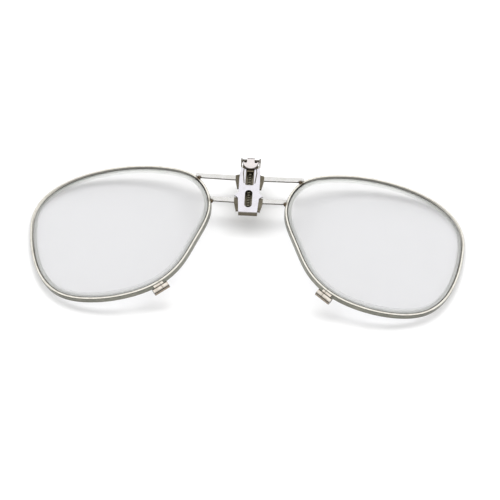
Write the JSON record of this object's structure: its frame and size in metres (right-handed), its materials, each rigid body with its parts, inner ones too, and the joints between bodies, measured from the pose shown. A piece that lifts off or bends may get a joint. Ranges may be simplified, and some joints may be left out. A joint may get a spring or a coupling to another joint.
{
  "type": "flip-up clip-on lens frame",
  "caption": "Wire-rimmed pair of clear lenses on flat bridge bars, with a stamped centre clip whose half-round tongue flips about a hinge pin.",
  "frame": {"origin": "centre of the footprint on the surface it lies on, front side up", "axes": "+X from the left lens to the right lens, +Y to the top of the lenses, +Z out of the front"},
  "size_m": [0.1214, 0.0454, 0.0099],
  "materials": {
    "eyewire_nickel": "plated, satin-bright",
    "bar_nickel": "flat bright",
    "bracket_nickel": "stamped, satin",
    "plate_nickel": "bright stamped",
    "tongue_nickel": "bright stamped",
    "closing_nickel": "drawn tube",
    "screw_steel": "turned",
    "pin_steel": "turned",
    "spring_steel": "drawn wire",
    "plunger_steel": "milled",
    "braze": "braze bead",
    "lens_clear": "clear polished with a ground edge"
  },
  "bodies": {
    "lens_frame": {"bridge_bracket": "bracket_nickel", "clip_front_plate": "plate_nickel", "hinge_pin": "pin_steel", "detent_spring": "spring_steel", "left_eyewire": "eyewire_nickel", "left_lens": "lens_clear", "left_closing_block_lower": "closing_nickel", "left_closing_block_upper": "closing_nickel", "left_closing_screw": "screw_steel", "left_upper_bar": "bar_nickel", "left_lower_bar": "bar_nickel", "left_braze_fillets": "braze", "right_eyewire": "eyewire_nickel", "right_lens": "lens_clear", "right_closing_block_lower": "closing_nickel", "right_closing_block_upper": "closing_nickel", "right_closing_screw": "screw_steel", "right_upper_bar": "bar_nickel", "right_lower_bar": "bar_nickel", "right_braze_fillets": "braze"},
    "tongue": {"clip_tongue": "tongue_nickel"},
    "plunger": {"detent_plunger": "plunger_steel"}
  },
  "joints": [
    {"name": "tongue_flip", "type": "hinge", "parent": "lens_frame", "child": "tongue", "pos_m": [0, 0.02175, 0.00901], "axis": [-1, 0, 0], "range_deg": [0, 90]},
    {"name": "plunger_slide", "type": "slide", "parent": "lens_frame", "child": "plunger", "axis": [0, -1, 0], "range_m": [0, 0.0003], "stiffness_N_per_m": 800}
  ]
}
